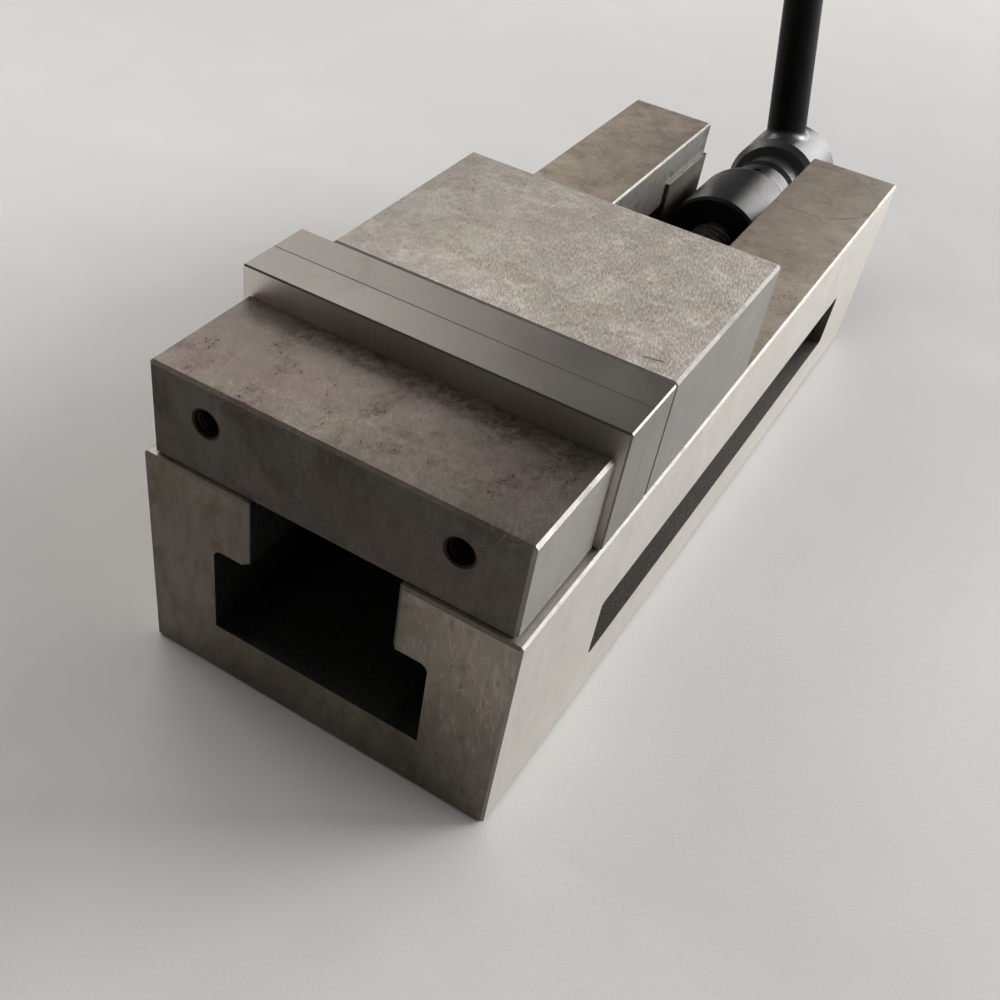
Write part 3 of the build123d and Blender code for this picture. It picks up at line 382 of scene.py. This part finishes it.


# The painted hole shade lies within a distance of each hole's axis; the foot's grime and shade is a band of y that
# rises along x, broken up by strokes
def fixedJawMarks(steel, seen, colour):
    x, y, hole, footGrimeShade = seen["x"], seen["y"], holeShade, plateFootGrimeShade
    aside, above = abs(x) - hole["offset"], seen["z"] - hole["height"]
    rim = steel.rise((aside * aside + above * above) ** 0.5, hole["radius"], hole["radius"] + hole["soft"])
    colour = steel.blend((1 - rim) * (y < hole["depth"]), colour, hole["colour"])
    # grime and painted shade along the plate's foot
    band = abs(y - footGrimeShade["middle"] + (seen["patch"] - 0.5) * footGrimeShade["ragged"])
    foot = (1 - steel.rise(band, footGrimeShade["halfWidth"] * 0.5, footGrimeShade["halfWidth"])) * seen["top"]
    foot = foot * steel.rise(x + (seen["broad"] - 0.5) * footGrimeShade["raggedEnd"], *footGrimeShade["across"])
    broken = steel.rise(seen["small"] + (seen["strokes"] - 0.5) * 0.6, 0.36, 0.66)
    return steel.blend(foot * broken * footGrimeShade["strength"], colour, footGrimeShade["colour"])


# A nick in the movable jaw's top, in mm
jawNick = dict(centre=(62.7, 25.2), halfLength=4.6, halfWidth=0.55, turn=14, bottom=141.5, strength=0.85,
               colour=(0.06, 0.05, 0.042))


# One dash on the top, broken up by the sanding strokes
def movableJawNick(steel, seen, colour):
    n = jawNick
    nick = steel.dash(seen["x"], seen["y"], n["centre"], n["halfLength"], n["halfWidth"], n["turn"])
    nick = nick * (seen["z"] > n["bottom"]) * steel.rise(seen["strokes"], 0.3, 0.5)
    return steel.blend(nick * n["strength"], colour, n["colour"])


# The hardened plates, in mm: painted light and shade as each face's factor of tone and how it leans to its sides,
# painted shade on the chamfers, and the line where they meet
plateLook = dict(
    tones=((0.205, 0.184, 0.166), (0.285, 0.26, 0.238)), smudge=(0.27, 0.24, 0.205), mark=(0.12, 0.10, 0.08),
    cloud=46, left=(-70.0, -10.0), right=(5.0, 70.0), ends=1.5, endsLeft=1.1, tops=0.14, topsLeft=-0.22,
    topsRight=-0.30, edges=0.5, seam=(0.15, 0.5), seamFades=(-30.0, 60.0), seamColour=(0.03, 0.026, 0.022),
    gloss=0.40, metal=0.9, depth=0.006,
)


# Fine-ground hardened plate: two tones shared out by a broad cloud and by faint streaks along the grinding, with
# smudges and specks, painted light and shade as each end's and top's own factor of tone with darker chamfers, and a
# dark line at y = 0
def plateSteel(name):
    plate, p = Finish(name), plateLook
    fine = plate.cloud(0.7, 2.0, 0.6, plate.stretch((0.25, 1.4, 1.4)))
    upright = plate.cloud(0.8, 2.0, 0.6, plate.stretch((1.4, 0.5, 0.06)))
    side, end, face = [plate.rise(abs(part), 0.85, 0.95) for part in plate.parts(plate.facing)]
    slope = (1 - face) * (1 - end) * (1 - side)
    lines = upright + (fine - upright) * face
    cloud = plate.cloud(p["cloud"], 2.0, 0.5)
    marks = plate.specks(9.0, 0.05, 0.22) * 0.8
    smudge = plate.rise(plate.cloud(15, 3.0, 0.6, warp=0.8), 0.56, 0.76)
    tone = plate.rise((cloud - 0.5) * 1.2 + (lines - 0.5) * 0.55 + 0.5, 0.05, 0.95)
    colour = plate.blend(tone, *p["tones"])
    colour = plate.blend(smudge * 0.25, colour, p["smudge"])
    colour = plate.blend(marks, colour, p["mark"])
    x, y = plate.parts(plate.stretch((1, 1, 1)))[:2]
    # painted light and shade: each end and top takes its own factor of tone, leaning across the plate, and the chamfers
    # are painted darker
    left, right = 1 - plate.rise(x, *p["left"]), plate.rise(x, *p["right"])
    shade = 1 + end * (p["ends"] + left * p["endsLeft"])
    shade = shade * (1 + face * (p["tops"] + left * p["topsLeft"] + right * p["topsRight"]))
    colour = plate.scaled(colour, shade * (1 - slope * p["edges"]))
    seam = (1 - plate.rise(abs(y), *p["seam"])) * (1 - plate.rise(x, *p["seamFades"]) * 0.7)
    colour = plate.blend(seam * 0.8, colour, p["seamColour"])
    return plate.surface(colour, p["gloss"] + (cloud - 0.5) * 0.16 + smudge * 0.06, p["metal"], lines, p["depth"])


# Turned or polished steel: two tones shared out by fine rings about the Y axis, by the distance along it, and smears
def turnedSteel(name, light, dark, gloss=0.3, pitch=0.35):
    steel = Finish(name)
    rings = steel.cloud(pitch, 2.0, 0.6, steel.stretch((0.02, 1, 0.02)))
    smear = steel.cloud(9, 3.0, 0.6, warp=0.7)
    colour = steel.blend(steel.rise(rings * 0.5 + smear * 0.5, 0.3, 0.7), dark, light)
    return steel.surface(colour, gloss + (smear - 0.5) * 0.2, 0.95, rings, 0.008)


# The crank's hub and neck, rubbed bright, within a distance of the spindle's axis, in mm
rubbedHub = dict(height=46.5, radius=28.5, fade=3.0, tone=(0.10, 0.10, 0.103), metal=0.7)
blackDust = (0.07, 0.068, 0.065)


# Blackened steel or satin paint: near black, with a soft mottle, dust in worn spots, and where a hub is given a paler
# metal by the distance from its axis
def blackSteel(name, tone, gloss, dust, sheen=0.4, hub=None):
    black = Finish(name)
    mottle = black.cloud(6, 4.0, 0.6, warp=0.4)
    pores = black.cloud(0.9, 3.0, 0.7)
    worn = black.rise(black.cloud(14, 4.0, 0.65, warp=1.0), 0.60, 0.78)
    colour = black.blend(black.rise(mottle, 0.3, 0.7), tone, [c * 1.9 for c in tone])
    colour, metal = black.blend(worn * dust, colour, blackDust), 0.0
    if hub:
        x, y, z = black.parts(black.stretch((1, 1, 1)))
        far = (x * x + (z - hub["height"]) ** 2) ** 0.5
        near = 1 - black.rise(far, hub["radius"], hub["radius"] + hub["fade"])
        colour, metal = black.blend(near, colour, hub["tone"]), near * hub["metal"]
    return black.surface(colour, gloss + (mottle - 0.5) * 0.2, metal, pores, 0.03, {"Specular IOR Level": sheen})


# The grip, the bearing's cage and the nut's wiper: two tones each, their clouds' sizes in mm, roughness and bump in mm
gripLook = dict(tones=((0.014, 0.014, 0.015), (0.028, 0.027, 0.027)), cell=1.4, held=20, gloss=0.5, smoother=0.14,
                depth=0.06)
brassLook = dict(tones=((0.46, 0.30, 0.12), (0.62, 0.45, 0.20)), cloud=5, gloss=0.34, duller=0.3, metal=0.9, depth=0.02)
wiperLook = dict(tones=((0.006, 0.006, 0.0065), (0.022, 0.021, 0.02)), cloud=4, gloss=0.75, duller=0.2, sheen=0.15,
                 depth=0.05)


# Moulded grip: near-black plastic with a bump of small cells, smoother and paler where it is held
def gripPlastic(name, look):
    grip = Finish(name)
    place = grip.stretch((1, 1, 1))
    cells = grip.node("ShaderNodeTexVoronoi", {}, {"Vector": place, "Scale": look["cell"]}, output="Distance")
    handled = grip.rise(grip.cloud(look["held"], 3.0, 0.6), 0.45, 0.7)
    colour = grip.blend(handled, *look["tones"])
    return grip.surface(colour, look["gloss"] - handled * look["smoother"], 0.0, cells, look["depth"])


# Pressed cage brass: two tones shared out by a tarnish cloud, which dulls it too
def cageBrass(name, look):
    brass = Finish(name)
    tarnish = brass.cloud(look["cloud"], 4.0, 0.6, warp=0.6)
    colour = brass.blend(brass.rise(tarnish, 0.35, 0.7), *look["tones"])
    gloss = look["gloss"] + (tarnish - 0.5) * look["duller"]
    return brass.surface(colour, gloss, look["metal"], tarnish, look["depth"])


# Wiper rubber: near black and dull, with paler dust by a cloud
def wiperRubber(name, look):
    rubber = Finish(name)
    dust = rubber.cloud(look["cloud"], 4.0, 0.7)
    colour = rubber.blend(rubber.rise(dust, 0.45, 0.8), *look["tones"])
    gloss = look["gloss"] + (dust - 0.5) * look["duller"]
    return rubber.surface(colour, gloss, 0.0, dust, look["depth"], {"Specular IOR Level": look["sheen"]})


finishes = {name: groundSteel(name, look) for name, look in steelLooks.items()}
threadFinish = turnedSteel("threadSteel", (0.13, 0.125, 0.115), (0.06, 0.057, 0.052), 0.36)
shared = (
    (plateSteel("plateSteel"), ("fixed_jaw_plate", "movable_jaw_plate")),
    (groundSteel("slideSteel", dict(steelLooks["body"], faces=(1.0, 0.9, 1.0), stained=0.8, marks=0.5)),
     ("pull_down_slide", "keeper_plate")),
    (turnedSteel("bearingSteel", (0.66, 0.65, 0.63), (0.50, 0.49, 0.47), 0.22),
     ("pull_down_segment", "fixed_jaw_dowels", "nut_cross_pins", "bearing_front_washer", "bearing_rear_washer",
      "bearing_rollers", "grip_washer")),
    (blackSteel("screwBlack", (0.022, 0.022, 0.024), 0.36, 0.15),
     ("fixed_jaw_bolts", "fixed_plate_screws", "movable_plate_screws", "jaw_return_screw", "keeper_screws",
      "cradle_bolts", "grip_bolt")),
    (blackSteel("nutBlack", (0.006, 0.006, 0.0064), 0.37, 0.15, 0.36), ("spindle_nut",)),
    (blackSteel("crankBlack", (0.004, 0.004, 0.0042), 0.36, 0.06, 0.08, rubbedHub), ("crank",)),
    (gripPlastic("gripPlastic", gripLook), ("crank_grip",)),
    (wiperRubber("wiperRubber", wiperLook), ("nut_wiper",)),
    (cageBrass("cageBrass", brassLook), ("bearing_cage",)),
    (threadFinish, ("spindle",)),
)
finishes.update({name: finish for finish, names in shared for name in names})
for name, node in nodes.items():
    node.data.materials.clear()
    node.data.materials.append(finishes[name])
print("materials made:", len(bpy.data.materials))


# An object at the origin from points in millimetres and faces, smooth up to an angle in degrees
def placeMesh(name, points, faces, finish, smoothAngle):
    mesh = bpy.data.meshes.new(name)
    mesh.from_pydata((points / 1000).tolist(), [], faces)
    mesh.materials.append(finish)
    mesh.shade_smooth()
    mesh.set_sharp_from_angle(angle=radians(smoothAngle))
    made = bpy.data.objects.new(name, mesh)
    bpy.context.scene.collection.objects.link(made)
    return made


# Faces and points for a grid [row, column, xyz]: each row is closed round its columns, and a fan caps both ends
def cappedGrid(points):
    rows, columns = points.shape[:2]
    ends = np.stack([points[0].mean(0), points[-1].mean(0)])
    row, column = np.meshgrid(np.arange(rows - 1), np.arange(columns), indexing="ij")
    after = (column + 1) % columns
    corners = (row, column), (row + 1, column), (row + 1, after), (row, after)
    quads = np.stack([r * columns + c for r, c in corners], -1).reshape(-1, 4)
    around = np.arange(columns)
    beside = (around + 1) % columns
    lastRow = (rows - 1) * columns
    first = np.stack([np.full(columns, rows * columns), around, beside], -1)
    last = np.stack([np.full(columns, rows * columns + 1), lastRow + beside, lastRow + around], -1)
    return np.concatenate([points.reshape(-1, 3), ends]), quads.tolist() + first.tolist() + last.tolist()


# The spindle, in mm: its sections' radii and the lengths at which they start and end
spindle = dict(
    axisHeight=46.5, columns=60, pilot=9.95, flange=17.0, relief=11.5, crest=14.0, root=11.4, hexWidth=19.0,
    lead=5.0, rowsPerLead=10, flankSlope=2.2, runIn=4, runOut=3, start=30.2, flangeStart=62.2, flangeEnd=77.2,
    reliefEnd=83.2, threadEnd=381.5, end=427.5, chamfer=1.2, flangeChamfer=0.5, hexChamfer=0.6, hexCorner=1.13,
    step=0.01,
)


# Threaded spindle: at length y and angle a about its axis the radius is that of its section; over the thread it is a
# trapezoid wave of the phase y / lead - a / turn, and over the end the hexagon's apothem / cos(angle from the flat)
def spindlePoints(s):
    c, e, bevel, apothem = s["chamfer"], s["step"], s["flangeChamfer"], s["hexWidth"] / 2
    thread = np.arange(s["reliefEnd"], s["threadEnd"], s["lead"] / s["rowsPerLead"])
    front = (
        (s["start"], s["pilot"] - c), (s["start"] + c, s["pilot"]), (s["flangeStart"] - e, s["pilot"]),
        (s["flangeStart"], s["flange"] - bevel), (s["flangeStart"] + bevel, s["flange"]),
        (s["flangeEnd"] - bevel, s["flange"]), (s["flangeEnd"], s["flange"] - bevel), (s["flangeEnd"] + e, s["relief"]),
    )
    rear = (
        (s["threadEnd"], s["crest"]), (s["threadEnd"] + e, apothem), (s["threadEnd"] + bevel, apothem),
        (s["end"] - c, apothem), (s["end"], apothem - s["hexChamfer"]),
    )
    middle = np.stack([thread, np.full(len(thread), s["crest"])], -1)
    lengths, radii = np.concatenate([front, middle, rear]).T
    angle = np.arange(s["columns"]) * tau / s["columns"]
    y, a = np.meshgrid(lengths, angle, indexing="ij")
    radius = np.repeat(radii[:, None], len(angle), 1)
    phase = (y / s["lead"] - a / tau) % 1.0
    wave = np.clip(s["flankSlope"] * (0.5 - np.abs(2 * phase - 1)) + 0.5, 0, 1)
    ease = np.clip((y - s["reliefEnd"]) / s["runIn"], 0, 1) * np.clip((s["threadEnd"] - y) / s["runOut"], 0, 1)
    cut = s["crest"] - (s["crest"] - s["root"]) * (1 - wave)
    threaded = (y >= s["reliefEnd"]) & (y <= s["threadEnd"])
    radius = np.where(threaded, s["relief"] + (cut - s["relief"]) * ease, radius)
    flat = (a % (tau / 6)) - tau / 12
    hexagon = np.minimum(radius / np.cos(flat), apothem * s["hexCorner"])
    radius = np.where(y > s["threadEnd"] + e / 2, hexagon, radius)
    return np.stack([radius * np.sin(a), y, s["axisHeight"] + radius * np.cos(a)], -1)


spindleObject = placeMesh("spindle_thread", *cappedGrid(spindlePoints(spindle)), threadFinish, 30)
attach(spindleObject, "spindle_assembly")
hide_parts("spindle")

# The threads in the fixed jaw's two tapped holes, in mm
stopThread = dict(outer=4.98, inner=4.35, pitch=1.75, rowsPerPitch=6, front=-68.6, back=-43.5, runIn=1.5, height=116.4,
                  offsets=(-48.5, 48.5), columns=40)


# Thread in a tapped hole: a sleeve against the hole's wall, with an inner radius that is a triangle wave of
# y / pitch - a / turn, closed by quads from each row to the next and from the last back to the first
def sleeveGrid(t, offset):
    lengths = np.arange(t["front"], t["back"], t["pitch"] / t["rowsPerPitch"])
    angle = np.arange(t["columns"]) * tau / t["columns"]
    y, a = np.meshgrid(lengths, angle, indexing="ij")
    wave = np.abs(2 * ((y / t["pitch"] - a / tau) % 1.0) - 1)
    ease = np.clip((y - t["front"]) / t["runIn"], 0, 1)
    inner = t["outer"] - (t["outer"] - t["inner"]) * wave * ease
    radius = np.concatenate([inner, np.full((1, len(angle)), t["outer"])])
    y, a = np.concatenate([y, y[-1:]]), np.concatenate([a, a[-1:]])
    points = np.stack([offset + radius * np.sin(a), y, t["height"] + radius * np.cos(a)], -1)
    rows, columns = points.shape[:2]
    row, column = np.meshgrid(np.arange(rows), np.arange(columns), indexing="ij")
    after, under = (column + 1) % columns, (row + 1) % rows
    corners = (row, column), (row, after), (under, after), (under, column)
    quads = np.stack([r * columns + c for r, c in corners], -1).reshape(-1, 4)
    return points.reshape(-1, 3), quads.tolist()


tappedFinish = turnedSteel("tappedSteel", (0.05, 0.034, 0.027), (0.018, 0.012, 0.010), 0.5)
for side, offset in zip(("left", "right"), stopThread["offsets"]):
    sleeve = placeMesh("work_stop_thread_" + side, *sleeveGrid(stopThread, offset), tappedFinish, 40)
    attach(sleeve, "bed")
print("threads made")

# The floor's colour, sizes in m and its painted light and shade, paler to the left and darker to the rear, between
# places in mm; the world's colour and strength
stageLook = dict(
    floor=(0.74, 0.73, 0.715), floorSize=8.0, floorDrop=0.0002, gloss=0.8, sheen=0.15, cloud=60, fibre=1.5, depth=0.05,
    paler=(-400.0, 150.0, 0.17), darker=(0.0, 600.0, 0.27), worldColour=(1.0, 0.985, 0.96, 1), world=0.125,
)
floorMesh = bpy.data.meshes.new("floor")
half, drop = stageLook["floorSize"] / 2, -stageLook["floorDrop"]
floorCorners = [(-half, -half, drop), (half, -half, drop), (half, half, drop), (-half, half, drop)]
floorMesh.from_pydata(floorCorners, [], [(0, 1, 2, 3)])
floor = bpy.data.objects.new("floor", floorMesh)
bpy.context.scene.collection.objects.link(floor)


# Floor paper: its own colour with faint clouds, times painted light and shade of 1 + a rise to the left - a rise to the
# rear
def floorPaper(name, look):
    paper = Finish(name)
    soft = paper.rise(paper.cloud(look["cloud"], 4.0, 0.6), 0.35, 0.7)
    colour = paper.blend(soft, [c * 0.975 for c in look["floor"]], look["floor"])
    x, y = paper.parts(paper.stretch((1, 1, 1)))[:2]
    paler, darker = look["paler"], look["darker"]
    # painted light and shade: paler to the left, darker to the rear
    shade = 1 + (1 - paper.rise(x, *paler[:2])) * paler[2] - paper.rise(y, *darker[:2]) * darker[2]
    fibre = paper.cloud(look["fibre"], 3.0)
    return paper.surface(paper.scaled(colour, shade), look["gloss"], 0.0, fibre, look["depth"],
                         {"Specular IOR Level": look["sheen"]})


floorMesh.materials.append(floorPaper("floorPaper", stageLook))

world = bpy.data.worlds.new("studio")
world.use_nodes = True
bpy.context.scene.world = world
world.node_tree.nodes["Background"].inputs["Color"].default_value = stageLook["worldColour"]
world.node_tree.nodes["Background"].inputs["Strength"].default_value = stageLook["world"]

# name: turn from +Y towards +X and rise of the way to it, in degrees; distance, width and height in m; power in W
lampAim = (0, 0.13, 0.05)
lamps = {
    "window": dict(turn=45, rise=17, far=3.0, wide=1.5, high=1.0, power=97, colour=(0.97, 0.985, 1.0)),
    "farWindow": dict(turn=15, rise=17, far=3.0, wide=1.5, high=1.0, power=35, colour=(1.0, 0.985, 0.96)),
    "nearWindow": dict(turn=80, rise=17, far=3.0, wide=1.5, high=1.0, power=27, colour=(0.97, 0.985, 1.0)),
    "leftWindow": dict(turn=-48, rise=31, far=3.0, wide=1.6, high=1.3, power=16, colour=(1.0, 0.985, 0.96)),
    "doorway": dict(turn=-90, rise=30, far=3.0, wide=1.5, high=1.2, power=20, colour=(1.0, 0.98, 0.95)),
    "ceiling": dict(turn=-70, rise=52, far=3.0, wide=1.8, high=1.5, power=10, colour=(1.0, 0.99, 0.97)),
}
for name, l in lamps.items():
    lampData = bpy.data.lights.new(name, "AREA")
    lampData.shape, lampData.size, lampData.size_y = "RECTANGLE", l["wide"], l["high"]
    lampData.energy, lampData.color = l["power"], l["colour"]
    lamp = bpy.data.objects.new(name, lampData)
    turn, rise = radians(l["turn"]), radians(l["rise"])
    aim = Vector((sin(turn) * cos(rise), cos(turn) * cos(rise), sin(rise)))
    lamp.location = Vector(lampAim) + aim * l["far"]
    lamp.rotation_euler = aim.to_track_quat("Z", "Y").to_euler()
    lamp.visible_camera = False
    bpy.context.scene.collection.objects.link(lamp)
print("floor and lamps made")

# The photo's camera: its place in m, its three directions, its lens and sensor in mm, its shift, and how near and far
# it sees in m
view = dict(
    eye=(0.154859, -0.302183, 0.354995), right=(0.8361283, 0.54089843, 0.09120496),
    down=(0.43105338, -0.54507798, -0.71908482), forward=(-0.33923803, 0.64056138, -0.68891123),
    lens=42.409, sensor=36, shift=(0.09146, 0.05669), seen=(0.01, 50),
)
cameraData = bpy.data.cameras.new("camera")
cameraData.sensor_width, cameraData.lens = view["sensor"], view["lens"]
cameraData.shift_x, cameraData.shift_y = view["shift"]
cameraData.clip_start, cameraData.clip_end = view["seen"]
camera = bpy.data.objects.new("camera", cameraData)
columns = [Vector(view["right"]), -Vector(view["down"]), -Vector(view["forward"]), Vector(view["eye"])]
camera.matrix_world = Matrix([[c[i] for c in columns] for i in range(3)] + [[0, 0, 0, 1]])
bpy.context.scene.collection.objects.link(camera)
bpy.context.scene.camera = camera
bpy.context.scene.view_settings.view_transform = "Standard"

print("scene done")
